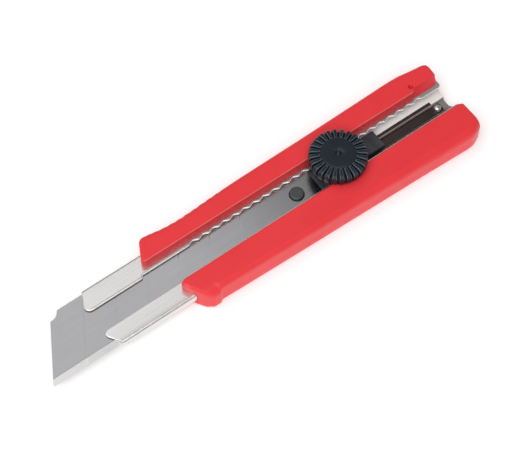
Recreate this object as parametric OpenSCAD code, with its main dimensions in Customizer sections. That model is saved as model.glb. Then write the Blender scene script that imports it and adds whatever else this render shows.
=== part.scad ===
// Heavy-duty snap-off utility knife with a screw-lock wheel.
//
// Frame: the knife lies on its back with the wheel up.
//   +X runs along the channel towards the blade tip.
//   +Y runs across the blade towards its cutting edge.
//   +Z points away from the flat back of the handle.
// The origin is on the back face, on the centreline of the channel, half way along the handle.
// All sizes are in millimetres.

/* [Blade] */
// Width of the standard snap-off blade
blade_w = 25; // [25:0.1:25]
// Length of the blade from its tip to its rear corner
blade_len = 126; // [120:1:130]
// Thickness of the blade
blade_t = 0.7; // [0.6:0.05:0.7]
// Distance between two snap lines
segment_pitch = 14; // [12:0.5:15]
// Number of snap lines
snap_lines = 6; // [4:1:6]
// Angle between a snap line and the cutting edge
snap_angle = 60; // [55:1:65]
// Depth of a snap line
snap_depth = 0.2; // [0.1:0.05:0.3]
// Width of the ground bevel along the cutting edge
bevel_w = 2.4; // [1.5:0.1:3]
// How far the blade tip stands in front of the origin
blade_tip_x = 122.5; // [118:0.5:126]

/* [Handle] */
// Length of the moulded casing
casing_len = 140; // [136:1:144]
// Height of the two side rails
casing_h = 12; // [11.5:0.1:12]
// Reach of the open track from the centreline towards the spine rail
track_spine = 7.5; // [7:0.1:7.7]
// Reach of the open track from the centreline towards the cutting-edge rail
track_edge = 6.9; // [6.6:0.1:7.2]
// Half width of the casing on the spine side, at its widest
spine_side = 18; // [17:0.1:19]
// Half width of the casing on the cutting-edge side, at the tail
edge_side = 21.2; // [20:0.1:22]
// Thickness of the casing's back under the channel
back_t = 2.85; // [2.5:0.05:2.85]
// Depth of the thumb hollow in the spine side
thumb_depth = 1.5; // [0.5:0.1:2]

/* [Channel] */
// Sheet thickness of the stainless channel
sheet_t = 0.8; // [0.6:0.05:0.9]
// Outer width of the channel
channel_w = 26.8; // [26.8:0.1:27]
// How far the channel's lips reach in front of the origin
lip_x = 96.8; // [92:0.5:98]
// Height of the flanges' top face above the casing's back
flange_z = 7.2; // [7.2:0.1:7.4]
// Depth of the pressed groove along the middle of the channel's floor
groove_depth = 0.9; // [0.5:0.1:1]
// Depth of one lock notch in the wavy flange edge
notch_depth = 0.9; // [0.5:0.1:1]
// Number of lock notches
notch_count = 24; // [20:1:24]

/* [Lock wheel] */
// Radius of the wheel over its ribs
wheel_r = 11.4; // [10:0.1:12]
// Height of the wheel's flat top above the casing's back
wheel_top_z = 18; // [17.6:0.1:18.5]
// Radius of the flat disc in the middle of the wheel
disc_r = 6.8; // [6:0.1:7.5]
// Number of grip ribs
rib_count = 24; // [16:1:30]
// Radius of the lock bolt, an M5 thread
bolt_r = 2.5; // [2.5:0.1:2.6]

/* [Hidden] */
$fn = 96;
eps = 0.01;

// Lengthways positions
casing_front = casing_len / 2;
casing_tail = -casing_len / 2;
pin_x = 5;
wheel_x = -14.35;
channel_tail = casing_tail - 0.5;
rivet_x = casing_tail + 5.6;
notch_pitch = segment_pitch / 3;
first_notch_x = 48.8;
lip_step_x = 72.8;
nose_edge_x = casing_front - 6.2;

// Heights of the stack inside the channel
web_z = 2.9;
web_top = web_z + sheet_t;
flange_under = flange_z - sheet_t;
plate_z = web_top + 0.12;
blade_z = flange_under - 0.3 - blade_t;
plate_top = blade_z - 0.05;
pad_top = flange_under - 0.05;
boss_top = flange_z - 0.05;
washer_z = flange_z + 0.05;
washer_t = 1.2;
hub_z = washer_z + washer_t;
rivet_head_z = web_top - groove_depth;
rivet_head_h = 1.7;
arm_under = rivet_head_z + rivet_head_h + 0.25;
wheel_under_z = casing_h + 0.5;

// Widths of the slot between the flanges
lip_spine_y = -4.4;
flange_spine_y = -5.3;
flange_edge_y = 5.3;
inner_half = channel_w / 2 - sheet_t;
groove_half = 2.6;
groove_slope = 0.7;

// Radii of the running and seated fits
pin_r = 2.75;
blade_hole_r = 2.85;
bolt_clear = 0.06;
wheel_roof = 1.4;
bolt_end_gap = 1.2;
washer_r = 6.4;
hub_r = 6.1;
nut_r = 4.6;
nut_len = 5;
rivet_r = 1.1;
rivet_head_r = 1.6;

// ---------------------------------------------------------------- helpers

// A point on a circle.
function arc_point(cx, cy, r, a) = [cx + r * cos(a), cy + r * sin(a)];

// A round post with softened top and bottom edges.
module soft_post(r, edge, h) {
    steps = [0:18:90];
    bottom = [for (a = steps) arc_point(r - edge, edge, edge, a - 90)];
    top = [for (a = steps) arc_point(r - edge, h - edge, edge, a)];
    rotate_extrude($fn = 32)
        polygon(concat([[0, 0]], bottom, top, [[0, h]]));
}

// A bar along X with the given section in Y and Z.
module bar_x(x0, x1, section) {
    translate([x0, 0, 0])
        rotate([90, 0, 90])
            linear_extrude(height = x1 - x0)
                polygon(section);
}

// A plain block between two corners.
module block(low, high) {
    translate(low)
        cube(high - low);
}

// ---------------------------------------------------------------- handle

// Outer corners of the casing in plan: [x, y, corner radius, edge radius].
casing_corners = [
    [casing_front - 1.6, -8.6, 1.6, 1.2],
    [casing_front - 6.1, -spine_side + 3.2, 1.4, 1.3],
    [casing_tail + 17, -spine_side + 3, 3, 2.8],
    [casing_tail + 1.4, -spine_side + 3.4, 1.4, 1.3],
    [casing_tail + 4.2, edge_side - 3.8, 3.8, 3],
    [nose_edge_x - 8, edge_side - 6, 2.8, 2.6],
    [nose_edge_x - 1.8, 9.6, 1.6, 1.3]
];

module casing_blank() {
    hull()
        for (c = casing_corners)
            translate([c[0], c[1], 0])
                soft_post(c[2], c[3], casing_h);
}

// Small stop for the forefinger, next to the nose on the cutting-edge side.
module finger_stop() {
    hull()
        for (x = [nose_edge_x - 9, nose_edge_x - 7.6])
            translate([x, edge_side - 5.6, 0])
                soft_post(2.5, 2.2, casing_h - 1);
}

// Long shallow hollow for the thumb, with fine grip ripples.
module thumb_hollow() {
    hollow_r = 170;
    hollow_x = 42;
    ripple_pitch = 3.5;
    ripple_r = 0.9;
    ripple_sink = 0.28;
    translate([hollow_x, -spine_side - hollow_r + thumb_depth + 0.6, -1])
        cylinder(r = hollow_r, h = casing_h + 2, $fn = 360);
    for (k = [-4:5]) {
        dx = k * ripple_pitch;
        side_y = -spine_side + thumb_depth + 0.6 - dx * dx / (2 * hollow_r);
        translate([hollow_x + dx, side_y - ripple_r + ripple_sink, -1])
            cylinder(r = ripple_r, h = casing_h + 2, $fn = 24);
    }
}

module casing() {
    pocket_half = channel_w / 2 + 0.05;
    edge_break = 0.7;
    tail_break = 2.4;
    nose_slant = 30;
    nose_cut = [6, 3, casing_h];
    color([0.88, 0.22, 0.24])
        difference() {
            union() {
                casing_blank();
                finger_stop();
            }
            // Pocket that the steel channel slides into
            block([casing_tail - 1, -pocket_half, back_t],
                  [casing_front + 1, pocket_half, flange_z + 0.05]);
            // Room under the channel's pressed groove
            bar_x(casing_tail - 1, casing_front + 1,
                  groove_section(back_t - groove_depth, groove_half + 0.1, back_t + eps));
            // Inner corner of the cutting-edge rail's nose, cut back at a slant
            translate([nose_edge_x - 1.6, track_edge - 1, flange_z - 1])
                rotate([0, 0, -nose_slant])
                    cube(nose_cut);
            // Wider bevel along the last stretch of the spine rail's inner edge
            bar_x(casing_tail - 1, casing_tail + 11, [
                [-track_spine + 0.5, casing_h - tail_break],
                [-track_spine - tail_break, casing_h + 0.5],
                [-track_spine + 0.5, casing_h + 0.5]
            ]);
            // Open track above the flanges, with softened upper edges
            bar_x(casing_tail - 1, casing_front + 1, [
                [-track_spine, flange_z - 1],
                [track_edge, flange_z - 1],
                [track_edge, casing_h - edge_break],
                [track_edge + edge_break + 1, casing_h + 1],
                [-track_spine - edge_break - 1, casing_h + 1],
                [-track_spine, casing_h - edge_break]
            ]);
            thumb_hollow();
            // Hole for the channel rivet, countersunk from the back
            translate([rivet_x, 0, -1])
                cylinder(r = rivet_r, h = back_t + 2, $fn = 32);
            translate([rivet_x, 0, 0])
                cylinder(r1 = rivet_r + 0.7, r2 = rivet_r, h = 0.7, $fn = 32);
            // Round gate mark in the top of the spine rail
            translate([casing_tail + 11.8, -10.2, casing_h - 0.4])
                cylinder(r = 0.9, h = 1, $fn = 24);
        }
}

// Section of the pressed groove in Y and Z, open at the top.
function groove_section(bottom_z, half, top_z) = [
    [-half + groove_slope, bottom_z],
    [half - groove_slope, bottom_z],
    [half, top_z],
    [-half, top_z]
];

// Plan outline of the channel. The lips are swept back on their outer sides,
// and the tail end is hollowed by a shallow arc.
module channel_outline() {
    half = channel_w / 2;
    tail_arc_r = 11.9;
    tail_arc_depth = 1.2;
    difference() {
        polygon([
            [channel_tail, -half],
            [lip_x - 3, -half],
            [lip_x, -6.4],
            [lip_x - 0.3, 7],
            [lip_x - 4.4, half],
            [channel_tail, half]
        ]);
        translate([channel_tail + tail_arc_depth - tail_arc_r, 0])
            circle(r = tail_arc_r);
    }
}

// The part of the slot between the two flanges that is cut straight.
module slot_outline() {
    lip_round = 2.2;
    tail_x = channel_tail - 1;
    polygon([
        [tail_x, flange_spine_y],
        [lip_step_x - 0.9, flange_spine_y],
        [lip_step_x, lip_spine_y],
        [lip_x - lip_round, lip_spine_y],
        [lip_x + 1, lip_spine_y - lip_round - 1],
        [lip_x + 1, flange_edge_y + lip_round + 1],
        [lip_x - lip_round, flange_edge_y],
        [tail_x, flange_edge_y]
    ]);
}

// Notches along the spine flange, one third of a blade segment apart.
module lock_notches() {
    notch_r = 2.6;
    for (k = [0:notch_count - 1])
        translate([first_notch_x - k * notch_pitch,
                   flange_spine_y - notch_depth + notch_r])
            circle(r = notch_r, $fn = 24);
}

module blade_channel() {
    half = channel_w / 2;
    bend = 1.2;
    color([0.78, 0.77, 0.76])
        difference() {
            // Outer C section, bent round at its four long edges, with the groove below it
            intersection() {
                union() {
                    bar_x(channel_tail, lip_x + 1, concat(
                        [for (a = [0:15:90]) arc_point(half - bend, web_z + bend, bend, a - 90)],
                        [for (a = [0:15:90]) arc_point(half - bend, flange_z - bend, bend, a)],
                        [for (a = [90:15:180]) arc_point(bend - half, flange_z - bend, bend, a)],
                        [for (a = [180:15:270]) arc_point(bend - half, web_z + bend, bend, a)]
                    ));
                    bar_x(channel_tail, lip_x + 1,
                          groove_section(web_z - groove_depth, groove_half, web_z + eps));
                }
                translate([0, 0, web_z - groove_depth])
                    linear_extrude(height = flange_z - web_z + groove_depth)
                        channel_outline();
            }
            // Inside of the channel and of its groove
            block([channel_tail - 1, -inner_half, web_top],
                  [lip_x + 2, inner_half, flange_under]);
            bar_x(channel_tail - 1, lip_x + 2,
                  groove_section(web_top - groove_depth, groove_half - 0.35, web_top + eps));
            // Slot between the flanges
            translate([0, 0, flange_under - 0.5])
                linear_extrude(height = sheet_t + 1) {
                    slot_outline();
                    lock_notches();
                }
            // Rivet hole
            translate([rivet_x, 0, web_z - groove_depth - 1])
                cylinder(r = rivet_r, h = sheet_t + groove_depth + 2, $fn = 32);
        }
}

// Rivet that holds the channel in the casing. Its head stands in the groove
// and is the rear stop for the slider's plate.
module channel_rivet() {
    head_side = 0.7;
    dome = [for (a = [0:15:90])
        [rivet_head_r * cos(a), head_side + (rivet_head_h - head_side) * sin(a)]];
    color([0.80, 0.79, 0.77])
        translate([rivet_x, 0, 0]) {
            cylinder(r = rivet_r, h = rivet_head_z, $fn = 32);
            cylinder(r1 = rivet_r + 0.7, r2 = rivet_r, h = 0.7, $fn = 32);
            translate([0, 0, rivet_head_z])
                rotate_extrude($fn = 32)
                    polygon(concat([[0, 0], [rivet_head_r, 0]], dome));
        }
}

// ---------------------------------------------------------------- slider

// Carriage: a plate under the flanges, a raised clamp pad, a boss in the slot
// and the lock arm, which lies along the wavy flange edge behind the wheel. The arm
// passes over the rivet's head, so that the blade can be drawn right into the lips.
module slider() {
    plate_half = inner_half - 0.2;
    arm_rear = pin_x - 40.5;
    plate_rear = arm_rear + 9;
    plate_front = pin_x + 6;
    pad_front = pin_x - 9.2;
    boss_half = flange_edge_y - 0.15;
    arm_edge_y = 2.2;
    arm_break = 0.4;
    color([0.19, 0.22, 0.26])
        difference() {
            union() {
                block([plate_rear, -plate_half, plate_z], [plate_front, plate_half, plate_top]);
                block([plate_rear, -plate_half, plate_z], [pad_front, plate_half, pad_top]);
                block([plate_rear + 4, -boss_half, plate_z], [pad_front - 2, boss_half, boss_top]);
                // Lock arm with broken upper edges
                intersection() {
                    bar_x(arm_rear, plate_rear + 5, [
                        [-boss_half, arm_under],
                        [arm_edge_y, arm_under],
                        [arm_edge_y, boss_top - arm_break],
                        [arm_edge_y - arm_break, boss_top],
                        [-boss_half, boss_top]
                    ]);
                    translate([0, boss_half, 0])
                        rotate([90, 0, 0])
                            linear_extrude(height = 2 * boss_half)
                                polygon([
                                    [arm_rear, arm_under],
                                    [plate_rear + 5, arm_under],
                                    [plate_rear + 5, boss_top],
                                    [arm_rear + arm_break, boss_top],
                                    [arm_rear, boss_top - arm_break]
                                ]);
                }
            }
            // Pocket for the square bolt head, and the bolt's hole
            block([wheel_x - 4.3, -4.3, plate_z - 1], [wheel_x + 4.3, 4.3, plate_z + 1]);
            translate([wheel_x, 0, plate_z - 1])
                cylinder(r = bolt_r + 0.1, h = 6, $fn = 48);
            // Hole that the blade pin is pressed into
            translate([pin_x, 0, plate_z - 1])
                cylinder(r = pin_r, h = 4, $fn = 48);
        }
}

// Stud that the blade's hole drops over.
module blade_pin() {
    pin_top = flange_z + 0.1;
    lead = 0.45;
    color([0.27, 0.31, 0.32])
        translate([pin_x, 0, 0]) {
            translate([0, 0, plate_z])
                cylinder(r = pin_r, h = pin_top - lead - plate_z, $fn = 48);
            translate([0, 0, pin_top - lead])
                cylinder(r1 = pin_r, r2 = pin_r - lead, h = lead, $fn = 48);
        }
}

// Distance that a snap line leans back towards the spine, at height y across the blade.
function lean(y) = (blade_w / 2 - y) / tan(snap_angle);

module blade() {
    half = blade_w / 2;
    rear_x = blade_tip_x - blade_len;
    corner_y = -10.1;
    color([0.67, 0.67, 0.68])
        difference() {
            translate([0, 0, blade_z])
                linear_extrude(height = blade_t)
                    difference() {
                        polygon([
                            [blade_tip_x, half],
                            [blade_tip_x - lean(-half), -half],
                            [rear_x, -half],
                            [rear_x, half]
                        ]);
                        // Hollow corner where the last spent segment broke away
                        translate([blade_tip_x - lean(corner_y) - 0.6, -half - 1.4])
                            circle(r = 3.9, $fn = 48);
                        translate([pin_x, 0])
                            circle(r = blade_hole_r, $fn = 48);
                    }
            // Ground bevels on both faces of the cutting edge
            for (side = [0, 1])
                mirror([0, 0, side])
                    translate([0, 0, side == 0 ? 0 : -2 * blade_z - blade_t])
                        bar_x(rear_x - 1, blade_tip_x + 1, [
                            [half - bevel_w, blade_z + blade_t],
                            [half + 1, blade_z + blade_t / 2 - 0.12],
                            [half + 1, blade_z + blade_t + 1],
                            [half - bevel_w, blade_z + blade_t + 1]
                        ]);
            // Snap lines, scored into the upper face
            for (k = [1:snap_lines])
                translate([blade_tip_x - k * segment_pitch, half, blade_z + blade_t])
                    rotate([0, 0, snap_angle])
                        rotate([0, -90, 0])
                            translate([0, 0, -2])
                                cylinder(r = snap_depth, h = blade_w + 8, $fn = 4);
        }
}

// Square-headed bolt. The head sits in the carriage and cannot turn.
module lock_bolt() {
    head = 8.4;
    head_t = 0.9;
    bolt_top = wheel_top_z - wheel_roof - bolt_end_gap;
    lead = 0.6;
    color([0.70, 0.70, 0.71])
        translate([wheel_x, 0, plate_z]) {
            block([-head / 2, -head / 2, 0], [head / 2, head / 2, head_t]);
            cylinder(r = bolt_r, h = bolt_top - plate_z - lead, $fn = 48);
            translate([0, 0, bolt_top - plate_z - lead])
                cylinder(r1 = bolt_r, r2 = bolt_r - lead, h = lead, $fn = 48);
        }
}

// ---------------------------------------------------------------- wheel

// Steel washer under the wheel's hub, which bears on both flanges.
module clamp_washer() {
    color([0.74, 0.74, 0.75])
        translate([wheel_x, 0, washer_z])
            difference() {
                cylinder(r = washer_r, h = washer_t);
                translate([0, 0, -1])
                    cylinder(r = bolt_r + 0.1, h = washer_t + 2, $fn = 48);
            }
}

// Moulded wheel: ribbed rim, flat top disc and a hub that reaches into the track.
module lock_wheel() {
    rim_shoulder = 1.8;
    groove_r = 0.55;
    color([0.17, 0.20, 0.24])
        translate([wheel_x, 0, 0])
            difference() {
                rotate_extrude()
                    polygon([
                        [0, hub_z],
                        [hub_r, hub_z],
                        [hub_r, wheel_under_z],
                        [wheel_r - 0.4, wheel_under_z],
                        [wheel_r, wheel_under_z + 0.4],
                        [wheel_r, wheel_top_z - rim_shoulder],
                        [wheel_r - 0.7, wheel_top_z - rim_shoulder + 0.8],
                        [disc_r + 0.4, wheel_top_z - 0.3],
                        [disc_r, wheel_top_z],
                        [0, wheel_top_z]
                    ]);
                // Grooves between the ribs
                for (k = [0:rib_count - 1])
                    rotate([0, 0, k * 360 / rib_count])
                        translate([wheel_r + 0.1, 0, wheel_under_z - 1])
                            cylinder(r = groove_r, h = 8, $fn = 16);
                // Seat for the nut, and clearance for the end of the bolt
                translate([0, 0, hub_z - 1])
                    cylinder(r = nut_r, h = nut_len + 1, $fn = 6);
                cylinder(r = bolt_r + 0.3, h = wheel_top_z - wheel_roof, $fn = 48);
                // Shallow centre mark in the top disc
                translate([0, 0, wheel_top_z - 0.25])
                    cylinder(r = 1.2, h = 1, $fn = 24);
            }
}

// Hexagonal nut moulded into the wheel.
module wheel_nut() {
    color([0.78, 0.63, 0.33])
        translate([wheel_x, 0, hub_z])
            difference() {
                cylinder(r = nut_r, h = nut_len, $fn = 6);
                translate([0, 0, -1])
                    cylinder(r = bolt_r + bolt_clear, h = nut_len + 2, $fn = 48);
            }
}

// ---------------------------------------------------------------- nodes

casing();
blade_channel();
channel_rivet();
slider();
blade_pin();
blade();
lock_bolt();
clamp_washer();
lock_wheel();
wheel_nut();
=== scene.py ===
"""Looks of the snap-off utility knife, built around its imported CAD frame.

Shapes are worked out in millimetres and turned into metres when a mesh is made.
+X runs to the blade tip, +Y to the cutting edge, +Z up to the wheel.
"""

import math

import bmesh
import bpy
import numpy as np
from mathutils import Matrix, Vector
from mathutils.geometry import delaunay_2d_cdt


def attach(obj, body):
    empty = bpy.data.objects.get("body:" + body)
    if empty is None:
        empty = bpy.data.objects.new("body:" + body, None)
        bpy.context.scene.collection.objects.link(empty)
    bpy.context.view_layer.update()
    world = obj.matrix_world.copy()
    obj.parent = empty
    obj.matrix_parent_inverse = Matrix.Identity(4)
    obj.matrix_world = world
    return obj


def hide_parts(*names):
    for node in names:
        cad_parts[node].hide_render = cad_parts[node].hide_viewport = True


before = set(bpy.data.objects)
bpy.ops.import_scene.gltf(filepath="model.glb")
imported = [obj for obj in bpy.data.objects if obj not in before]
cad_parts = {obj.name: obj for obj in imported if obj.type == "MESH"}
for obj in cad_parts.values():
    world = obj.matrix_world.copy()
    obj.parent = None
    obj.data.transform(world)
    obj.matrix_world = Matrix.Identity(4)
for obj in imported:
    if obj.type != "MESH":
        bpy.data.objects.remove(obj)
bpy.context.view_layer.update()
scene = bpy.context.scene

MM = 0.001

# Heights and widths that the pieces share, in millimetres
CASING_H = 12.0
FLANGE_TOP = 7.2
POCKET_TOP = 7.25
POCKET_FLOOR = 2.85
POCKET_HALF = 13.45
SHEET_T = 0.8
CHANNEL_HALF = 13.4
WEB_MID = 3.3
BLADE_LOW = 5.4
BLADE_TOP = 6.1
SEGMENT = 14.0
PIN_X = 5.0
WHEEL_X = -14.35
RIVET_X = -64.4


# ---------------------------------------------------------------- mesh helpers


def smoothstep(t):
    t = np.clip(t, 0.0, 1.0)
    return t * t * (3 - 2 * t)


def soft_curve(x, knots, reach):
    """A line through the knots, rounded off over +-reach."""
    kx = [k[0] for k in knots]
    ky = [k[1] for k in knots]
    offsets = np.linspace(-1, 1, 9)
    weights = 1 + np.cos(offsets * math.pi * 0.9)
    weights = weights / weights.sum()
    x = np.asarray(x, float)
    return sum(w * np.interp(x + o * reach, kx, ky) for o, w in zip(offsets, weights))


def arc(cy, cz, r, start, end, steps):
    """Points on an arc, angles in degrees."""
    angles = np.radians(np.linspace(start, end, steps + 1))
    return [(cy + r * math.cos(a), cz + r * math.sin(a)) for a in angles]


def line(a, b, steps):
    """Points from a towards b, without b."""
    return [tuple(np.asarray(a) + (np.asarray(b) - np.asarray(a)) * k / steps) for k in range(steps)]


def grid_faces(rows, cols, wrap=False, start=0):
    faces = []
    for i in range(rows - 1):
        for j in range(cols if wrap else cols - 1):
            k = (j + 1) % cols
            a = start + i * cols
            b = a + cols
            faces.append((a + j, a + k, b + k, b + j))
    return faces


def shell_faces(rows, cols):
    """Faces of a closed sheet: an upper grid of points, a lower one, and the rim between them."""
    size = rows * cols
    faces = grid_faces(rows, cols) + [f[::-1] for f in grid_faces(rows, cols, start=size)]
    ring = list(range(cols))
    ring += [i * cols + cols - 1 for i in range(1, rows)]
    ring += [(rows - 1) * cols + j for j in range(cols - 2, -1, -1)]
    ring += [i * cols for i in range(rows - 2, 0, -1)]
    for a, b in zip(ring, ring[1:] + ring[:1]):
        faces.append((a, b, b + size, a + size))
    return faces


def make_piece(name, points, faces, sharp=35):
    """A closed mesh object from points in millimetres, smooth but for edges sharper than the angle."""
    mesh = bpy.data.meshes.new(name)
    mesh.from_pydata([tuple(p) for p in np.asarray(points, float) * MM], [], faces)
    bm = bmesh.new()
    bm.from_mesh(mesh)
    bmesh.ops.remove_doubles(bm, verts=bm.verts, dist=1e-7)
    bmesh.ops.recalc_face_normals(bm, faces=bm.faces)
    bm.to_mesh(mesh)
    bm.free()
    obj = bpy.data.objects.new(name, mesh)
    scene.collection.objects.link(obj)
    shade(obj, sharp)
    return obj


def shade(obj, sharp=35):
    obj.data.polygons.foreach_set("use_smooth", [True] * len(obj.data.polygons))
    obj.data.set_sharp_from_angle(angle=math.radians(sharp))


def apply_modifiers(obj):
    graph = bpy.context.evaluated_depsgraph_get()
    mesh = bpy.data.meshes.new_from_object(obj.evaluated_get(graph))
    obj.modifiers.clear()
    obj.data = mesh


def combine(obj, other, operation):
    """Adds other to obj, or takes it away, and removes other."""
    mod = obj.modifiers.new("combine", "BOOLEAN")
    mod.operation = operation
    mod.solver = "EXACT"
    mod.object = other
    bpy.context.view_layer.update()
    apply_modifiers(obj)
    bpy.data.objects.remove(other)


def cut(obj, tool, sharp=35):
    combine(obj, tool, "DIFFERENCE")
    shade(obj, sharp)


def revolve(name, profile, centre, steps=48, sharp=35):
    """A turned piece from a profile of (radius, z) that starts and ends on the axis."""
    inner = profile[1:-1]
    angles = np.linspace(0, 2 * math.pi, steps, endpoint=False)
    points = [
        (centre[0] + r * math.cos(a), centre[1] + r * math.sin(a), z)
        for r, z in inner
        for a in angles
    ]
    faces = grid_faces(len(inner), steps, wrap=True)
    first, last = len(points), len(points) + 1
    points.append((centre[0], centre[1], profile[0][1]))
    points.append((centre[0], centre[1], profile[-1][1]))
    base = (len(inner) - 1) * steps
    for j in range(steps):
        k = (j + 1) % steps
        faces.append((first, k, j))
        faces.append((last, base + j, base + k))
    return make_piece(name, points, faces, sharp)


def settle(obj, body, slot, *nodes):
    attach(obj, body)
    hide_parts(*nodes)


# ---------------------------------------------------------------- materials


class Nodes:
    """A small helper that builds one node material."""

    def __init__(self, name):
        self.material = bpy.data.materials.new(name)
        self.material.use_nodes = True
        self.tree = self.material.node_tree
        self.shader = self.tree.nodes["Principled BSDF"]
        self.place = self.add("ShaderNodeTexCoord").outputs["Object"]

    def add(self, kind, **settings):
        node = self.tree.nodes.new(kind)
        for key, value in settings.items():
            setattr(node, key, value)
        return node

    def link(self, source, target):
        self.tree.links.new(source, target)

    def set(self, **values):
        for key, value in values.items():
            self.shader.inputs[key.replace("_", " ")].default_value = value

    def noise(self, scale, stretch=(1, 1, 1), detail=3.0, roughness=0.55):
        """Noise over the piece. scale is in features per metre, stretch per axis."""
        mapping = self.add("ShaderNodeMapping")
        mapping.inputs["Scale"].default_value = stretch
        self.link(self.place, mapping.inputs["Vector"])
        noise = self.add("ShaderNodeTexNoise")
        noise.inputs["Scale"].default_value = scale
        noise.inputs["Detail"].default_value = detail
        noise.inputs["Roughness"].default_value = roughness
        self.link(mapping.outputs["Vector"], noise.inputs["Vector"])
        return noise.outputs["Fac"]

    def span(self, source, low, high, to_low, to_high):
        """Maps a value from one range to another."""
        node = self.add("ShaderNodeMapRange")
        node.inputs["From Min"].default_value = low
        node.inputs["From Max"].default_value = high
        node.inputs["To Min"].default_value = to_low
        node.inputs["To Max"].default_value = to_high
        self.link(source, node.inputs["Value"])
        return node.outputs["Result"]

    def blend(self, factor, first, second):
        """Mixes two colours, each a tuple or a socket, by a factor socket."""
        node = self.add("ShaderNodeMix", data_type="RGBA")
        self.link(factor, node.inputs["Factor"])
        for socket, colour in ((node.inputs[6], first), (node.inputs[7], second)):
            if isinstance(colour, tuple):
                socket.default_value = (*colour, 1.0)
            else:
                self.link(colour, socket)
        return node.outputs[2]

    def bump(self, heights):
        """Adds bumps, each (height socket, strength, distance in metres)."""
        last = None
        for height, strength, distance in heights:
            node = self.add("ShaderNodeBump")
            node.inputs["Strength"].default_value = strength
            node.inputs["Distance"].default_value = distance
            self.link(height, node.inputs["Height"])
            if last is not None:
                self.link(last, node.inputs["Normal"])
            last = node.outputs["Normal"]
        self.link(last, self.shader.inputs["Normal"])

    def worn_and_sheen_edges(self):
        """1 along convex edges, 0 elsewhere: the edges that are lightened, partly as wear and partly as a
        painted highlight.
        """
        pointiness = self.add("ShaderNodeNewGeometry").outputs["Pointiness"]
        return self.span(pointiness, 0.52, 0.62, 0.0, 1.0)


def plastic(name, colour, shade_colour, worn_and_sheen_colour, rough, grain):
    """Injection-moulded plastic: slow colour drift, fine grain, paler edges that are partly wear and partly
    a painted highlight.
    """
    n = Nodes(name)
    drift = n.span(n.noise(45), 0.3, 0.7, 0.0, 1.0)
    grain_noise = n.noise(2600, detail=2.0)
    base = n.blend(drift, colour, shade_colour)
    # Convex edges are lightened in patches: partly wear, partly a painted highlight along the edges
    wear_and_sheen = n.add("ShaderNodeMath", operation="MULTIPLY")
    n.link(n.worn_and_sheen_edges(), wear_and_sheen.inputs[0])
    n.link(n.span(n.noise(420), 0.35, 0.75, 0.1, 0.55), wear_and_sheen.inputs[1])
    n.link(n.blend(wear_and_sheen.outputs[0], base, worn_and_sheen_colour), n.shader.inputs["Base Color"])
    n.link(n.span(n.noise(160), 0.3, 0.7, rough - 0.04, rough + 0.05), n.shader.inputs["Roughness"])
    n.bump([(grain_noise, grain, 0.00004), (n.noise(120), 0.08, 0.0003)])
    n.set(Metallic=0.0, IOR=1.48, Specular_IOR_Level=0.30)
    return n.material


def steel(name, colour, shade_colour, rough, streak, along="x", metallic=1.0, contrast=0.35):
    """Rolled or ground steel: drift in tone, fine streaks along one axis, small scratches."""
    n = Nodes(name)
    stretch = (0.02, 1, 1) if along == "x" else (1, 0.02, 1)
    streaks = n.noise(4200, stretch=stretch, detail=4.0, roughness=0.7)
    broad = n.noise(700, stretch=stretch, detail=3.0)
    drift = n.noise(38)
    mixed = n.blend(n.span(drift, 0.3, 0.7, 0.0, 1.0), colour, shade_colour)
    fine = n.blend(n.span(streaks, 0.35, 0.65, 0.0, contrast), mixed, tuple(c * 0.8 for c in colour))
    n.link(fine, n.shader.inputs["Base Color"])
    tone = n.add("ShaderNodeMath", operation="ADD")
    n.link(n.span(streaks, 0.3, 0.7, rough - 0.03, rough + 0.03), tone.inputs[0])
    n.link(n.span(broad, 0.3, 0.7, -0.015, 0.015), tone.inputs[1])
    n.link(tone.outputs[0], n.shader.inputs["Roughness"])
    n.bump([(streaks, streak, 0.00002), (broad, streak * 0.25, 0.00003)])
    n.set(Metallic=metallic)
    return n.material


def paint(obj, *materials):
    obj.data.materials.clear()
    for material in materials:
        obj.data.materials.append(material)


red_plastic = plastic(
    "red_plastic", (0.86, 0.046, 0.054), (0.81, 0.038, 0.046), (0.93, 0.20, 0.19), 0.35, 0.10
)
# A paler red painted along the spine rail's inner ridge, as the ridge's highlight
red_ridge_highlight = plastic("red_ridge_highlight", (0.88, 0.17, 0.16), (0.84, 0.13, 0.13), (0.92, 0.30, 0.28), 0.28, 0.06)
wheel_plastic = plastic(
    "wheel_plastic", (0.012, 0.018, 0.028), (0.009, 0.013, 0.021), (0.16, 0.19, 0.23), 0.36, 0.12
)
# A paler blue-grey painted on the ribs' flanks and inner ends, as their highlight
rib_edge_highlight = plastic("rib_edge_highlight", (0.095, 0.118, 0.145), (0.070, 0.090, 0.115), (0.22, 0.26, 0.30), 0.30, 0.08)
# Near-black painted in the wheel's grooves, as the shade in them
groove_painted_shade = plastic(
    "groove_painted_shade", (0.002, 0.003, 0.004), (0.0015, 0.002, 0.003), (0.01, 0.012, 0.014), 0.60, 0.12
)
arm_plastic = plastic(
    "arm_plastic", (0.034, 0.036, 0.046), (0.027, 0.029, 0.038), (0.10, 0.11, 0.12), 0.40, 0.14
)
stainless = steel("stainless", (0.75, 0.735, 0.72), (0.70, 0.685, 0.675), 0.27, 0.012, contrast=0.03)
# The sheared edges and the bright floor band are painted highlights: plain pale non-metal colours that
# stand for lit steel
sheared_edge_highlight = steel(
    "sheared_edge_highlight", (0.97, 0.95, 0.92), (0.94, 0.92, 0.89), 0.45, 0.04, metallic=0.0, contrast=0.1
)
web_painted_highlight = steel(
    "web_painted_highlight", (0.98, 0.94, 0.93), (0.93, 0.88, 0.87), 0.45, 0.08, metallic=0.0, contrast=0.2
)
# Mid-grey steel, darker than the sheet, laid between the floor's painted bands; on the groove's slopes it
# makes thin painted highlight lines
web_painted_midtone = steel("web_painted_midtone", (0.50, 0.475, 0.44), (0.43, 0.40, 0.37), 0.40, 0.10, contrast=0.4)
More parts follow.
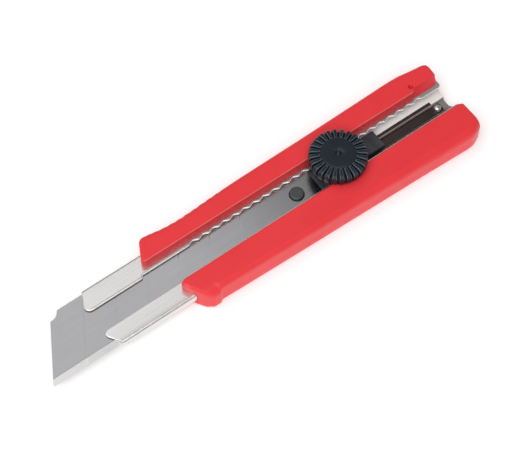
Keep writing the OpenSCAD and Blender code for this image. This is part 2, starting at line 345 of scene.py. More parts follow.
# Near-black on the floor: painted shadow under the spine flange and painted dark reflection in the groove
web_painted_shade = steel("web_painted_shade", (0.105, 0.080, 0.080), (0.070, 0.055, 0.056), 0.38, 0.14, contrast=0.5)
blade_steel = steel("blade_steel", (0.40, 0.40, 0.41), (0.37, 0.37, 0.38), 0.20, 0.015, contrast=0.08)
bevel_steel = steel("bevel_steel", (0.86, 0.85, 0.83), (0.80, 0.79, 0.78), 0.33, 0.20, along="y")
black_steel = steel("black_steel", (0.095, 0.110, 0.110), (0.075, 0.088, 0.090), 0.42, 0.10, metallic=0.6)
rivet_metal = steel("rivet_metal", (0.75, 0.74, 0.72), (0.66, 0.65, 0.64), 0.22, 0.08)
bolt_metal = steel("bolt_metal", (0.60, 0.60, 0.61), (0.50, 0.50, 0.52), 0.32, 0.15)
nut_metal = steel("nut_metal", (0.72, 0.52, 0.24), (0.62, 0.44, 0.20), 0.30, 0.12)


# ---------------------------------------------------------------- casing

BODY_FRONT = 50.0
BODY_REAR = -58.0
STATION_END = 70.0
NOSE_ROUND = 1.15
TAIL_ROUND = 1.0
SPINE_WALL = -7.5
EDGE_WALL = 6.9
SPINE_RIDGE_Z = 11.5
SIDE_SOFTNESS = 3.0

# Outer side of the spine rail in plan: taper, thumb hollow, narrowing tail
SPINE_SIDE = [
    (-70.0, -16.2), (-67, -16.4), (-62, -17.0), (-57, -17.7), (-51, -17.8), (-39, -17.5),
    (-9, -16.95), (20, -16.6), (31, -16.3), (37, -16.0), (43, -15.7), (49, -15.45),
    (56, -15.8), (63, -16.85), (70, -17.6),
]
# Outer side of the edge rail in plan
EDGE_SIDE = [(-70.0, 21.0), (-63, 20.9), (-39, 20.1), (-11, 19.4), (17, 18.7), (44.5, 17.9), (53, 17.6)]

# The four lines that run along the casing: where each ends at the nose, and how far from
# the nose and from the tail it starts to turn in
NOSE_X = (65.8, 70.6, 64.0, 58.5)
NOSE_REACH = (0.6, 1.4, 2.0, 2.0)
TAIL_REACH = (1.6, 0.6, 2.0, 6.5)


def corner(x, end, reach):
    """How far a line has turned in at a rounded corner, over the last reach before x = end."""
    t = np.clip((np.abs(x) - (abs(end) - reach)) / reach, 0, 1)
    return reach * (1 - math.sqrt(1 - (0.7 * t) ** 2))


def ripple(x):
    """Fine grip ripples in the thumb hollow."""
    fade = smoothstep((x - 27.0) / 5) * smoothstep((63.0 - x) / 4)
    return 0.16 * fade * (0.5 - 0.5 * math.cos(2 * math.pi * x / 3.5)) ** 1.5


def lobe(x):
    """Small stop for the forefinger at the edge side: 1 on its crown, 0 away from it."""
    rear = smoothstep((x - 52.4) / 1.8)
    front = smoothstep((60.5 - x) / 3.5)
    return float(rear * front)


def rail_lines(s):
    """Plan points of the four lines at station s: spine side, spine wall, edge wall, edge side."""
    xs = [s] * len(NOSE_X)
    ends = [STATION_END] * len(NOSE_X)
    reaches = TAIL_REACH
    if s > BODY_FRONT:
        nose_len = STATION_END - BODY_FRONT
        xs = [BODY_FRONT + (s - BODY_FRONT) * (nose - BODY_FRONT) / nose_len for nose in NOSE_X]
    if s > 0:
        ends = NOSE_X
        reaches = NOSE_REACH
    turned = [corner(x, end, reach) for x, end, reach in zip(xs, ends, reaches)]
    x0, x1, x2, x3 = xs
    y0 = float(soft_curve(x0, SPINE_SIDE, SIDE_SOFTNESS)) + ripple(x0) + turned[0]
    y1 = SPINE_WALL - turned[1]
    y2 = EDGE_WALL + turned[2]
    y3 = float(soft_curve(x3, EDGE_SIDE, SIDE_SOFTNESS)) - turned[3]
    return [(x0, y0), (x1, y1), (x2, y2), (x3, y3)]


def casing_section(s):
    """Closed section at station s: rows of (y, z, weight of the end rounding)."""
    lines = rail_lines(s)
    y0, y1, y2, y3 = [p[1] for p in lines]
    bulge = lobe(lines[3][0]) if s > 0 else 0.0
    toward_tail = float(smoothstep((20 - s) / 80))
    round_s = 2.2
    round_e = 2.3 + 1.5 * toward_tail + 1.6 * bulge
    low = 1.6
    ridge = 0.45
    lean = 0.15 + 1.3 * float(smoothstep((-57.5 - s) / 1.6))
    wall_low = POCKET_TOP + 0.35
    out = y3 + 0.85 * bulge
    h = CASING_H
    pts = []

    def add(points, weight=1.0):
        pts.extend((p, weight) for p in points)

    # Back, and outer side of the spine rail
    add(line((0.0, 0.0), (-6.0, 0.0), 4))
    add(line((-6.0, 0.0), (y0 + low, 0.0), 3))
    add(arc(y0 + low, low, low, 270, 180, 6))
    add(line((y0, low + 2.0), (y0, h - round_s), 3))
    add(arc(y0 + round_s, h - round_s, round_s, 180, 90, 9))
    # Top of the spine rail, its ridge and its wall
    top_in = y1 - lean
    add(line((y0 + round_s + 0.8, h), (top_in - ridge, SPINE_RIDGE_Z), 4))
    add(arc(top_in - ridge, SPINE_RIDGE_Z - ridge, ridge, 86, 8, 6), 0.8)
    add(line((top_in + 0.01, SPINE_RIDGE_Z - ridge - 0.4), (y1, wall_low), 4), 0.8)
    add([(y1, wall_low), (y1, POCKET_TOP)], 0.8)
    # Pocket of the channel, with the room under its groove
    half_pocket = [(POCKET_HALF, POCKET_TOP), (POCKET_HALF, 5.0), (POCKET_HALF, POCKET_FLOOR)]
    floor_y = (8.0, 6.0, 4.4, 2.8)
    groove_y = 2.1
    groove_low = 1.9
    across = [(11.0, POCKET_TOP)] + half_pocket + [(y, POCKET_FLOOR) for y in floor_y]
    across.append((groove_y, groove_low))
    add([(-y, z) for y, z in across], 0.0)
    add([(0.0, groove_low)], 0.0)
    add(across[::-1], 0.0)
    # Wall, top and outer side of the edge rail
    add([(y2, POCKET_TOP), (y2, wall_low)], 0.8)
    add(line((y2, wall_low + 0.8), (y2, h - 0.6), 3), 0.8)
    add(arc(y2 + 0.6, h - 0.6, 0.6, 180, 90, 5), 0.8)
    top_out = y3 - round_e
    add(line((y2 + 1.4, h), (top_out, h), 5))
    add([
        (top_out + (out - top_out) * math.cos(a), h - round_e + round_e * math.sin(a))
        for a in np.radians(np.linspace(90, 0, 11))
    ])
    add(line((out, h - round_e - 1.2), (out, low + 0.6), 3))
    add(arc(out - low, low, low, 0, -90, 6))
    add(line((out - low - 3, 0.0), (6.0, 0.0), 2))
    add(line((6.0, 0.0), (0.0, 0.0), 4))
    yz = np.array([p for p, _ in pts])
    weight = np.array([w for _, w in pts])
    return yz, weight


def plan_x(s, y, z, bulge_share):
    """Where the point at width y and height z sits lengthways at station s."""
    lines = rail_lines(s)
    lines_y = [p[1] for p in lines]
    x = np.interp(y, lines_y, [p[0] for p in lines])
    if bulge_share > 0 and s > 0:
        t = np.clip((y - lines_y[2]) / (lines_y[3] - lines_y[2]), 0, 1)
        x = x + bulge_share * 0.8 * t * (1 - t)
    if s < BODY_REAR:
        share = (BODY_REAR - s) / (BODY_REAR + STATION_END)
        x = x + share * np.where(z < 3.2, 1.4 * np.clip(1 - (y / 6.0) ** 2, 0, 1), 0)
    return x


def casing_stations():
    fine = list(np.arange(27.0, BODY_FRONT, 0.4))
    front = list(STATION_END - (STATION_END - BODY_FRONT) * np.linspace(1, 0, 61) ** 1.6)
    body = list(np.arange(BODY_REAR + 1, 27.0, 1.5))
    rear = list((BODY_REAR + STATION_END) * np.linspace(0, 1, 31) ** 1.8 - STATION_END)
    return np.array(rear + body + fine + front)


def squeeze(yz, weight, lines, inset):
    """Draws the section in by inset at its outer faces, without folding its small corner arcs."""
    y, z = yz[:, 0], yz[:, 1]
    y0, y1, y2, y3 = [p[1] for p in lines]
    side = np.where(y < (y1 + y2) / 2, 1, 0)
    middle = np.where(side, (y0 + y1) / 2, (y2 + y3) / 2)
    half = np.where(side, (y1 - y0) / 2, (y3 - y2) / 2)
    over_back = (np.abs(y) < 7.0) & (z < POCKET_TOP)
    dy = np.where(over_back, 0.0, np.clip((middle - y) / half, -1, 1))
    faces_track = np.sign(y - middle) == np.where(side, 1, -1)
    on_wall = (z >= POCKET_TOP) & (np.abs(y - middle) < half + 0.01) & faces_track
    centre = CASING_H / 2
    dz = np.where(on_wall, (POCKET_TOP - z) / (CASING_H - POCKET_TOP), (centre - z) / centre)
    outer = (weight > 0)[:, None]
    return np.where(outer, yz + inset * np.stack([dy, dz], axis=1), yz)


def section_row(s, shift, inset, bulge_share):
    """One row of casing points at station s, moved lengthways by shift and drawn in by inset."""
    yz, weight = casing_section(s)
    moved = squeeze(yz, weight, rail_lines(s), inset) if inset > 0 else yz
    x = plan_x(s, moved[:, 0], moved[:, 1], bulge_share) + shift
    return np.stack([x, moved[:, 0], moved[:, 1]], axis=1)


def end_cap(row, start):
    """Triangles over the closed end row, with extra points so that the end can curve."""
    flat = [Vector((p[1], p[2])) for p in row]
    count = len(flat)
    seeds = []
    polygon = np.array([(p.x, p.y) for p in flat])
    for y in np.arange(-18, 22, 0.9):
        for z in np.arange(0.5, 12, 0.9):
            distance = np.hypot(polygon[:, 0] - y, polygon[:, 1] - z).min()
            if distance > 0.45 and inside(polygon, y, z):
                seeds.append(Vector((y, z)))
    edges = [(i, (i + 1) % count) for i in range(count)]
    made = delaunay_2d_cdt(flat + seeds, edges, [], 1, 1e-5)
    points, faces, source = made[0], made[2], made[3]
    order = np.argsort([p.x for p in flat])
    known_y = np.array([flat[i].x for i in order])
    known_x = np.array([row[i][0] for i in order])
    index = []
    extra = []
    for p, origins in zip(points, source):
        on_row = [o for o in origins if o < count]
        if on_row:
            index.append(start + on_row[0])
        else:
            index.append(None)
            extra.append((float(np.interp(p.x, known_y, known_x)), p.x, p.y))
    return index, extra, faces


def inside(polygon, y, z):
    a = polygon
    b = np.roll(polygon, -1, axis=0)
    crosses = (a[:, 1] > z) != (b[:, 1] > z)
    with np.errstate(divide="ignore", invalid="ignore"):
        at = a[:, 0] + (z - a[:, 1]) * (b[:, 0] - a[:, 0]) / (b[:, 1] - a[:, 1])
    return bool(np.sum(crosses & (y < at)) % 2)


def build_casing():
    stations = casing_stations()
    rows = []
    turns = np.radians(np.linspace(0, 90, 7))
    for a in turns[::-1]:
        shift = TAIL_ROUND * (1 - math.sin(a))
        rows.append(section_row(-STATION_END, shift, TAIL_ROUND * (1 - math.cos(a)), 0))
    for s in stations[1:-1]:
        near_tail = TAIL_ROUND * max(0.0, (BODY_REAR - s) / (STATION_END + BODY_REAR))
        share = max(0.0, (s - BODY_FRONT) / (STATION_END - BODY_FRONT))
        rows.append(section_row(s, near_tail - NOSE_ROUND * share, 0, smoothstep(share)))
    for a in turns:
        shift = NOSE_ROUND * (math.sin(a) - 1)
        rows.append(section_row(STATION_END, shift, NOSE_ROUND * (1 - math.cos(a)), 1))
    cols = len(rows[0])
    points = [tuple(p) for row in rows for p in row]
    faces = grid_faces(len(rows), cols, wrap=True)
    for row, start in ((rows[0], 0), (rows[-1], (len(rows) - 1) * cols)):
        index, extra, triangles = end_cap(row, start)
        fresh = iter(range(len(points), len(points) + len(extra)))
        index = [next(fresh) if i is None else i for i in index]
        points += extra
        faces += [tuple(index[i] for i in f) for f in triangles]
    casing = make_piece("casing_shell", points, faces, sharp=38)
    gate = revolve(
        "gate_tool", [(0, 9.4), (0.75, 9.4), (0.9, 9.6), (1.0, 11.4), (1.1, 11.8), (1.35, 12.6), (0, 12.6)],
        (-58.2, -10.2), steps=36,
    )
    cut(casing, gate, 38)
    hole_profile = [(0, -0.5), (1.9, -0.5), (1.9, 0.0), (1.2, 0.72), (1.2, 3.5), (0, 3.5)]
    hole = revolve("rivet_tool", hole_profile, (RIVET_X, 0), 40)
    cut(casing, hole, 38)
    paint(casing, red_plastic, red_ridge_highlight)
    # Faces along the spine rail's inner ridge get the paler red, a painted highlight on the ridge
    for face in casing.data.polygons:
        p = face.center / MM
        if -8.15 < p.y < -7.55 and 11.0 < p.z < 11.55 and face.normal.y > 0.25:
            face.material_index = 1
    settle(casing, "handle", "casing_plastic", "casing")


# ---------------------------------------------------------------- channel

CHANNEL_TAIL = -70.5
LIP_X = 96.8
FRONT_START = 88.0
REAR_START = -64.0
NOTCH_PITCH = SEGMENT / 3
FIRST_NOTCH_X = 48.8
NOTCH_COUNT = 24
NOTCH_DEPTH = 0.9
EDGE_ROUND = 0.34
STEP_X = 72.8
FRONT_SETBACK = 2.0

# Rounding of the sheet's rim: how far in from the edge, and half the thickness there
RIM_TURNS = np.radians([90, 60, 30, 0])
RIM_INSET = [EDGE_ROUND * (1 - math.sin(a)) for a in RIM_TURNS]
RIM_HALF = [SHEET_T / 2 - EDGE_ROUND * (1 - math.cos(a)) for a in RIM_TURNS]

# Front end of the sheet in plan, as (y, x)
FRONT_LINE = [
    (-13.4, 93.9), (-12.2, 94.3), (-7.0, 96.75), (-5.0, 96.8), (6.5, 96.6), (8.0, 96.1), (13.4, 92.4),
]


def wave(x):
    """The lock notches: a rounded zigzag, 1 in a notch and 0 on a crest."""
    phase = 2 * math.pi * (x - FIRST_NOTCH_X) / NOTCH_PITCH
    bend = 0.93
    zigzag = np.arcsin(bend * np.cos(phase)) / math.asin(bend)
    return 0.5 + 0.5 * zigzag


def spine_lip_edge(x):
    """Y of the spine flange's free edge along the channel."""
    last = FIRST_NOTCH_X - (NOTCH_COUNT - 1) * NOTCH_PITCH
    in_wave = smoothstep((FIRST_NOTCH_X + NOTCH_PITCH / 2 - x) / 0.5)
    in_wave = in_wave * smoothstep((x - last + NOTCH_PITCH / 2) / 0.5)
    y = -5.5 - NOTCH_DEPTH * in_wave * wave(x)
    y = y + 1.1 * smoothstep((x - STEP_X + 1.0) / 1.0)
    reach = 2.3
    t = np.clip((x - (LIP_X - reach)) / reach, 0, 1)
    y = y - 2.3 * (1 - np.sqrt(1 - t * t))
    rear = np.clip((CHANNEL_TAIL + 1.6 - x) / 1.6, 0, 1)
    return y - 1.6 * (1 - np.sqrt(1 - rear * rear))


def edge_lip_edge(x):
    """Y of the edge flange's free edge along the channel."""
    reach = 2.6
    t = np.clip((x - (LIP_X - reach)) / reach, 0, 1)
    rear = np.clip((CHANNEL_TAIL + 1.0 - x) / 1.0, 0, 1)
    wide = 0.8 * (1 - smoothstep((x - 58.0) / 3.0))
    return 5.3 - wide + 2.4 * (1 - np.sqrt(1 - t * t)) + 1.0 * (1 - np.sqrt(1 - rear * rear))


def groove_z(y):
    """Height of the web's middle surface, with its pressed groove."""
    return WEB_MID - 0.9 * smoothstep((2.75 - abs(y)) / 0.95)


def flange_rows(edge, turn):
    """Y of the rows from the free edge to the bend, closer together at the edge."""
    sign = 1 if turn > edge else -1
    near = [edge + sign * i for i in RIM_INSET]
    far = [near[-1] + (turn - near[-1]) * t for t in (0.12, 0.3, 0.5, 0.75)]
    return near + far


def channel_section(x):
    """Middle surface at x from edge to edge, its half thickness, and which rows are the web's."""
    mid_z = FLANGE_TOP - SHEET_T / 2
    bend = 0.8
    turn = CHANNEL_HALF - SHEET_T / 2 - bend
    high = mid_z - bend
    low = WEB_MID + bend
    spine = [(y, mid_z) for y in flange_rows(float(spine_lip_edge(x)), -turn)]
    edge = [(y, mid_z) for y in flange_rows(float(edge_lip_edge(x)), turn)]
    web_y = [-turn + 0.01, -8.0, -4.0, -3.0, -2.75, -2.5, -2.28, -2.05, -1.8, -1.4, 0.0]
    web = [(y, groove_z(y)) for y in web_y]
    web += [(-y, z) for y, z in reversed(web[:-1])]
    wall_mid = (high + low) / 2
    left = arc(-turn, high, bend, 90, 180, 6) + [(-turn - bend, wall_mid)]
    left += arc(-turn, low, bend, 180, 270, 6)
    right = arc(turn, low, bend, -90, 0, 6) + [(turn + bend, wall_mid)]
    right += arc(turn, high, bend, 0, 90, 6)
    rows = spine + left + web + right + edge[::-1]
    full = [SHEET_T / 2] * (len(rows) - 2 * len(RIM_HALF))
    first_web = len(spine) + len(left)
    web_rows = slice(first_web, first_web + len(web))
    return np.array(rows), np.array(RIM_HALF + full + RIM_HALF[::-1]), web_rows


def channel_x(s, yz, web_rows):
    """Lengthways place of each row at station s, with the swept lips and the hollow tail."""
    y = yz[:, 0]
    x = np.full(len(y), s)
    if s > FRONT_START:
        front = np.interp(y, [p[0] for p in FRONT_LINE], [p[1] for p in FRONT_LINE])
        front = front - FRONT_SETBACK * smoothstep((6.3 - yz[:, 1]) / 1.2)
        x = FRONT_START + (s - FRONT_START) * (front - FRONT_START) / (LIP_X - FRONT_START)
    if s < REAR_START:
        is_web = np.zeros(len(y), bool)
        is_web[web_rows] = True
        hollow = 1.25 * np.clip(1 - (y / 5.6) ** 2, 0, 1)
        tail = CHANNEL_TAIL + np.where(is_web, hollow, 0.0)
        x = REAR_START + (s - REAR_START) * (tail - REAR_START) / (CHANNEL_TAIL - REAR_START)
    return x


def channel_stations():
    """Stations along the channel, and the most that half the thickness may be at each."""
    rear = [CHANNEL_TAIL + r for r in RIM_INSET]
    rear += list(np.linspace(CHANNEL_TAIL + 0.4, REAR_START, 14))
    wavy = list(np.arange(REAR_START + 0.3, FIRST_NOTCH_X + 3.0, NOTCH_PITCH / 14))
    plain = list(np.linspace(FIRST_NOTCH_X + 3.3, STEP_X - 1.4, 14))
    step = list(np.linspace(STEP_X - 1.2, STEP_X + 0.2, 8))
    lips = list(np.linspace(STEP_X + 1.0, LIP_X - 2.6, 22))
    tip = list(np.linspace(LIP_X - 2.4, LIP_X - 0.4, 12)) + [LIP_X - r for r in RIM_INSET[::-1]]
    stations = rear + wavy + plain + step + lips + tip
    full = [SHEET_T / 2] * (len(stations) - 2 * len(RIM_HALF))
    return stations, RIM_HALF + full + RIM_HALF[::-1]


def sheet_finish(p, normal):
    """Which finish the sheet has at p: a painted highlight on the sheared edges, and painted highlight,
    mid-grey and painted shade bands along the channel's floor.
    """
    sheet, band, plain, dark, sheared = range(5)
    # The flanges' rims get a pale colour, a painted highlight
    if p.z > FLANGE_TOP - SHEET_T - 0.02 and abs(normal.z) < 0.93 and abs(p.y) < 11.5:
        return sheared
    if p.z > 4.4 or abs(p.y) > 9 or normal.z < 0.3:
        return sheet
    # Under the spine flange's edge: painted shadow
    if p.y < -6.25:
        return dark
    # A pale band along the floor, a painted highlight where the steel reflects light
    if p.y < -4.5 or p.x < -63.5 and p.y < -2.6:
        return band
    # The groove's slopes and the floor's tail end get the mid-grey: thin painted highlight lines at the
    # crease, and a painted lighter tone by the tail
    if p.x < -66.5 or 1.9 < abs(p.y) < 2.75:
        return plain
    # From the band to y 3.9 the floor is near-black, a painted dark reflection; beyond it, mid-grey
    return dark if p.y < 3.9 else plain


def build_channel():
    stations, end_half = channel_stations()
    mids = []
    halves = []
    for s, limit in zip(stations, end_half):
        yz, thick, web_rows = channel_section(s)
        x = channel_x(s, yz, web_rows)
        mids.append(np.stack([x, yz[:, 0], yz[:, 1]], axis=1))
        halves.append(np.minimum(thick, limit))
    mid = np.array(mids)
    half = np.array(halves)
    across = np.gradient(mid, axis=1)
    normal = np.zeros_like(mid)
    normal[..., 1] = -across[..., 2]
    normal[..., 2] = across[..., 1]
    normal /= np.linalg.norm(normal, axis=2, keepdims=True)
    rows, cols = half.shape
    outer = mid + normal * half[..., None]
    inner = mid - normal * half[..., None]
    points = np.concatenate([outer.reshape(-1, 3), inner.reshape(-1, 3)])
    channel = make_piece("folded_channel", points, shell_faces(rows, cols), sharp=40)
    hole = revolve("channel_hole", [(0, 1.0), (1.12, 1.0), (1.12, 4.5), (0, 4.5)], (RIVET_X, 0), 40)
    cut(channel, hole, 40)
    paint(channel, stainless, web_painted_highlight, web_painted_midtone, web_painted_shade, sheared_edge_highlight)
    # Each face gets its finish from sheet_finish, which paints highlights and shade onto the sheet
    for face in channel.data.polygons:
        face.material_index = sheet_finish(face.center / MM, face.normal)
    settle(channel, "handle", "stainless_sheet", "blade_channel")


def build_rivet():
    dome = [(1.55 * math.cos(a), 3.5 + 1.0 * math.sin(a)) for a in np.radians(np.linspace(0, 80, 8))]
    foot = [(0, 0.02), (1.6, 0.02), (1.78, 0.08), (1.1, 0.72)]
    head = [(1.1, 2.82), (1.5, 2.82), (1.6, 2.95), (1.6, 3.4)]
    rivet = revolve("channel_rivet_head", foot + head + dome + [(0, 4.5)], (RIVET_X, 0), 40)
    paint(rivet, rivet_metal)
    settle(rivet, "handle", "rivet_steel", "channel_rivet")


# ---------------------------------------------------------------- carriage

BLADE_TIP = 122.5
BLADE_REAR = -4.1
BLADE_HALF = 12.5
SNAP_LINES = 6
SNAP_ANGLE = 60
# Section of one snap line: distance along the edge, and depth
SCORE = ((-0.22, 0.0), (-0.1, 0.02), (0.0, 0.04), (0.03, 0.0))
BEVEL_Y = 10.1
NOTCH_CENTRE = (108.85, -13.9)
NOTCH_R = 3.9


def lean(y):
    """How far a snap line at width y lies behind its end at the cutting edge."""
    return (BLADE_HALF - y) / math.tan(math.radians(SNAP_ANGLE))


def blade_spine(x):
    """Y of the blade's spine edge, with the hollow corner at its front."""
    reach = NOTCH_R ** 2 - (x - NOTCH_CENTRE[0]) ** 2
    if x > NOTCH_CENTRE[0]:
        return NOTCH_CENTRE[1] + NOTCH_R
    if reach <= 0:
        return -BLADE_HALF
    return max(-BLADE_HALF, NOTCH_CENTRE[1] + math.sqrt(reach))


def blade_columns():
    """Distances along the cutting edge and the depth of the score there."""
    columns = [(BLADE_REAR, 0.0)]
    for k in range(SNAP_LINES, 0, -1):
        at = BLADE_TIP - k * SEGMENT
        columns += [(at + d, depth) for d, depth in SCORE]
    last = columns[-1][0]
    columns += [(x, 0.0) for x in np.linspace(last + 0.6, BLADE_TIP, 32)]
    return columns


def blade_row(x_edge, fractions):
    """Plan points of one column, from the spine to the cutting edge."""
    last_score = BLADE_TIP - SNAP_LINES * SEGMENT + SCORE[0][0]
    low = -BLADE_HALF
    for _ in range(12):
        low = blade_spine(x_edge - lean(low))
    points = []
    for f in fractions:
        y = BEVEL_Y + (BLADE_HALF - BEVEL_Y) * (f - 1) if f > 1 else low + (BEVEL_Y - low) * f
        if x_edge <= last_score:
            t = (x_edge - BLADE_REAR) / (last_score - BLADE_REAR)
            x = BLADE_REAR + t * (last_score - lean(y) - BLADE_REAR)
        else:
            x = x_edge - lean(y)
        points.append((x, y))
    return points


def build_blade():
    rim = 0.05
    fractions = [0.0, 0.002, 0.1, 0.3, 0.5, 0.7, 0.9, 1.0, 1.5, 2.0]
    top = []
    under = []
    for x_edge, depth in blade_columns():
        for (x, y), f in zip(blade_row(x_edge, fractions), fractions):
            ground = 0.31 * max(0.0, f - 1)
            broken = rim if f == 0.0 else 0.0
            top.append((x, y, BLADE_TOP - max(ground, broken) - depth * (1 - 0.3 * max(0.0, f - 1))))
            under.append((x, y, BLADE_LOW + max(ground, broken)))
    cols = len(fractions)
    rows = len(top) // cols
    blade = make_piece("snap_off_blade", top + under, shell_faces(rows, cols), sharp=2)
    hole = revolve("blade_hole", [(0, 5.0), (3.08, 5.0), (3.08, 6.6), (0, 6.6)], (PIN_X, 0), 64)
    cut(blade, hole, 2)
    paint(blade, blade_steel, bevel_steel)
    for face in blade.data.polygons:
        if face.center.y > (BEVEL_Y + 0.02) * MM and abs(face.normal.z) > 0.9:
            face.material_index = 1
    settle(blade, "carriage", "blade_steel", "blade")


def build_pin():
    stem = [(0, 3.85), (2.75, 3.85), (2.75, 5.3), (2.83, 5.4), (2.83, 6.5)]
    lead = [(2.43 + 0.4 * math.cos(a), 6.9 + 0.4 * math.sin(a)) for a in np.radians(np.linspace(0, 90, 6))]
    pin = revolve("blade_stud", stem + lead + [(1.9, 7.29), (0, 7.27)], (PIN_X, 0), 64)
    paint(pin, black_steel)
    settle(pin, "carriage", "blackened_steel", "blade_pin")


def box_piece(name, low, high):
    """A plain block that is joined into a larger moulding and then rounded."""
    points = [(x, y, z) for x in (low[0], high[0]) for y in (low[1], high[1]) for z in (low[2], high[2])]
    faces = [(0, 1, 3, 2), (4, 6, 7, 5), (0, 4, 5, 1), (2, 3, 7, 6), (0, 2, 6, 4), (1, 5, 7, 3)]
    return make_piece(name, points, faces)


def round_edges(obj, width, steps=3, sharp=35):
    mod = obj.modifiers.new("round", "BEVEL")
    mod.width = width * MM
    mod.segments = steps
    mod.limit_method = "ANGLE"
    mod.angle_limit = math.radians(40)
    mod.use_clamp_overlap = True
    bpy.context.view_layer.update()
    apply_modifiers(obj)
    shade(obj, sharp)


def build_slider():
    carriage = box_piece("carriage_moulding", (-26.5, -12.4, 3.82), (11.0, 12.4, 5.35))
    blocks = (
        ("pad", (-26.3, -12.2, 4.4), (-4.15, 12.2, 5.9)),
        ("boss", (-24.0, -5.15, 4.6), (-6.2, 4.4, 7.15)),
        ("arm", (-35.5, -5.15, 4.75), (-22.0, 2.8, 7.15)),
    )
    for name, low, high in blocks:
        combine(carriage, box_piece(name, low, high), "UNION")
    round_edges(carriage, 0.3)
    seat_profile = [(0, 3.0), (6.1, 3.0), (6.1, 4.85), (2.6, 4.85), (2.6, 8.0), (0, 8.0)]
    bolt_seat = revolve("bolt_seat", seat_profile, (WHEEL_X, 0), 48)
    cut(carriage, bolt_seat)
    pin_seat = revolve("pin_seat", [(0, 3.0), (2.78, 3.0), (2.78, 6.0), (0, 6.0)], (PIN_X, 0), 64)
    cut(carriage, pin_seat)
    paint(carriage, arm_plastic)
    settle(carriage, "carriage", "dark_plastic", "slider")


# ---------------------------------------------------------------- wheel

RIBS = 24
RIB_HALF = 0.275


def rib_share(p):
    """1 on a rib and 0 in a groove. p is the place in one rib pitch, -0.5 to 0.5."""
    wall = 1 - float(smoothstep((abs(p) - RIB_HALF) / 0.085))
    crown = 1 - 0.07 * min(1.0, abs(p) / RIB_HALF) ** 2
    return wall * crown


def build_wheel():
    # Profiles of (radius, z) down a rib, down a groove, across the disc and up the hub
    rib = [
        (6.94, 17.52), (7.06, 17.5), (7.25, 17.52), (7.9, 17.52), (8.7, 17.5),
        (9.6, 17.45), (10.4, 17.35), (10.85, 17.15), (11.15, 16.8), (11.32, 16.3),
        (11.4, 15.5), (11.4, 13.6), (11.3, 13.0), (11.0, 12.62), (10.5, 12.5),
    ]
    groove = [
        (6.94, 17.52), (7.02, 17.1), (7.15, 16.75), (7.7, 16.3), (8.3, 16.0),
        (8.95, 15.8), (9.6, 15.65), (10.3, 15.5), (10.8, 15.25), (11.02, 14.9),
        (11.1, 14.4), (11.1, 13.6), (11.02, 13.0), (10.8, 12.65), (10.35, 12.5),
    ]
    disc = [
        (0.25, 17.96), (0.42, 17.86), (0.62, 17.55), (0.9, 17.45), (1.15, 17.6),
        (1.35, 17.9), (1.5, 18.0), (3.0, 18.0), (5.0, 18.0), (6.2, 18.0),
        (6.45, 17.98), (6.64, 17.9), (6.76, 17.76), (6.82, 17.65), (6.88, 17.56),
    ]
    hub = [
        (9.0, 12.5), (6.4, 12.5), (6.15, 12.42), (6.1, 12.2), (6.1, 8.7), (6.0, 8.47), (4.8, 8.47),
        (4.8, 13.5), (2.8, 13.5), (2.8, 16.5),
    ]
    near = [0.0, 0.12, 0.21, 0.26, 0.28, 0.295, 0.31, 0.325, 0.34, 0.36, 0.42]
    samples = [-0.5] + [-p for p in near[:0:-1]] + near
    angles = []
    shares = []
    for k in range(RIBS):
        for p in samples:
            angles.append((k + p) * 2 * math.pi / RIBS)
            shares.append(rib_share(p))
    rows = [[(r, z)] * len(angles) for r, z in disc]
    for (rr, rz), (gr, gz) in zip(rib, groove):
        rows.append([(gr + (rr - gr) * m, gz + (rz - gz) * m) for m in shares])
    rows += [[(r, z)] * len(angles) for r, z in hub]
    cols = len(angles)
    points = [
        (WHEEL_X + r * math.cos(a), r * math.sin(a), z)
        for row in rows
        for (r, z), a in zip(row, angles)
    ]
    faces = grid_faces(len(rows), cols, wrap=True)
    top, roof = len(points), len(points) + 1
    points += [(WHEEL_X, 0, 17.97), (WHEEL_X, 0, 16.5)]
    base = (len(rows) - 1) * cols
    for j in range(cols):
        k = (j + 1) % cols
        faces.append((top, k, j))
        faces.append((roof, base + j, base + k))
    wheel = make_piece("ribbed_wheel", points, faces, sharp=50)
    paint(wheel, wheel_plastic, groove_painted_shade, rib_edge_highlight)
    for face in wheel.data.polygons:
        p = face.center / MM
        radius = math.hypot(p.x - WHEEL_X, p.y)
        turn = math.atan2(p.y, p.x - WHEEL_X) * RIBS / (2 * math.pi)
        share = rib_share(turn - round(turn))
        # Faces down in the grooves get the near-black, painted shade
        if 6.9 < radius and 12.6 < p.z < 17.5 and share < 0.55:
            face.material_index = 1
        # Rib flanks and the ribs' inner ends by the disc get the paler colour, a painted highlight
        elif 7.0 < radius and p.z > 13.0 and (share < 0.97 and radius < 11.3 or radius < 7.3):
            face.material_index = 2
    settle(wheel, "wheel", "dark_plastic", "lock_wheel")


# ---------------------------------------------------------------- floor, light, camera


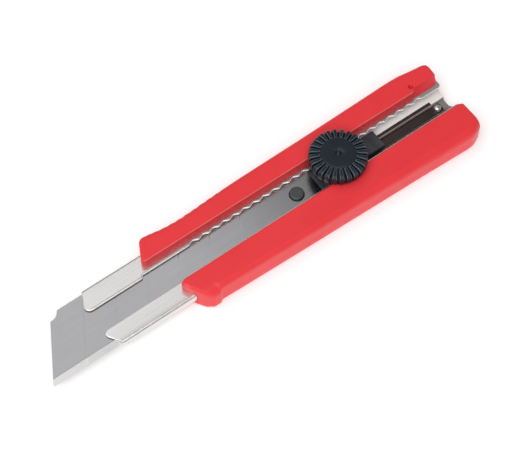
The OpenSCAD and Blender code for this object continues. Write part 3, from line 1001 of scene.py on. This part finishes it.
def build_floor():
    half = 1500.0
    corners = [(-half, -half, 0), (half, -half, 0), (half, half, 0), (-half, half, 0)]
    floor = make_piece("pale_floor", corners, [(0, 1, 2, 3)])
    n = Nodes("pale_floor")
    drift = n.span(n.noise(3), 0.3, 0.7, 0.0, 1.0)
    tone = n.blend(drift, (0.95, 0.95, 0.95), (0.93, 0.93, 0.935))
    n.link(tone, n.shader.inputs["Base Color"])
    n.set(Roughness=0.9)
    n.shader.inputs["Emission Color"].default_value = (1, 1, 1, 1)
    n.shader.inputs["Emission Strength"].default_value = 0.24
    n.shader.inputs["Specular IOR Level"].default_value = 0.1
    # Seen from below the floor is clear, so that the underside shows
    clear = n.add("ShaderNodeBsdfTransparent")
    mix = n.add("ShaderNodeMixShader")
    n.link(n.add("ShaderNodeNewGeometry").outputs["Backfacing"], mix.inputs["Fac"])
    n.link(n.shader.outputs["BSDF"], mix.inputs[1])
    n.link(clear.outputs["BSDF"], mix.inputs[2])
    n.link(mix.outputs["Shader"], n.tree.nodes["Material Output"].inputs["Surface"])
    floor.data.materials.append(n.material)


def softbox(name, place, target, width, height, watts, colour=(1, 1, 1)):
    light = bpy.data.lights.new(name, "AREA")
    light.shape = "RECTANGLE"
    light.size = width
    light.size_y = height
    light.energy = watts
    light.color = colour
    obj = bpy.data.objects.new(name, light)
    scene.collection.objects.link(obj)
    obj.location = place
    aim = Vector(target) - Vector(place)
    obj.rotation_euler = aim.to_track_quat("-Z", "Y").to_euler()
    obj.visible_camera = False


def build_light():
    world = bpy.data.worlds.new("studio")
    world.use_nodes = True
    world.node_tree.nodes["Background"].inputs["Color"].default_value = (1, 1, 1, 1)
    world.node_tree.nodes["Background"].inputs["Strength"].default_value = 0.31
    scene.world = world
    softbox("top_box", (0.42, 0.30, 0.90), (0.03, 0, 0), 1.1, 1.1, 8.4)
    softbox("fill_box", (0.22, -0.55, 0.90), (0.22, -0.55, 0), 1.0, 0.6, 1.6)
    softbox("side_box", (0.25, 0.85, 0.35), (0.03, 0, 0), 0.9, 0.45, 0.6)
    scene.view_settings.view_transform = "Standard"
    scene.view_settings.look = "None"


def build_camera():
    azimuth = math.radians(143.84)
    elevation = math.radians(61.16)
    back = Vector((
        math.sin(azimuth) * math.cos(elevation),
        -math.cos(azimuth) * math.cos(elevation),
        math.sin(elevation),
    ))
    camera = bpy.data.cameras.new("camera")
    camera.sensor_width = 36.0
    camera.lens = 108.1
    camera.clip_start = 0.01
    obj = bpy.data.objects.new("camera", camera)
    scene.collection.objects.link(obj)
    obj.location = Vector((0.02458, 0.00312, 0.0)) + back * 0.5926
    obj.rotation_euler = (-back).to_track_quat("-Z", "Y").to_euler()
    scene.camera = obj


build_camera()
build_light()
build_floor()
build_casing()
build_channel()
build_rivet()
build_slider()
build_pin()
build_blade()
build_wheel()
# The clamp washer is painted dark, as painted shade in the dark zone under the wheel
paint(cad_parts["clamp_washer"], black_steel)
paint(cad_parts["lock_bolt"], bolt_metal)
paint(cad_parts["wheel_nut"], nut_metal)

bpy.context.view_layer.update()
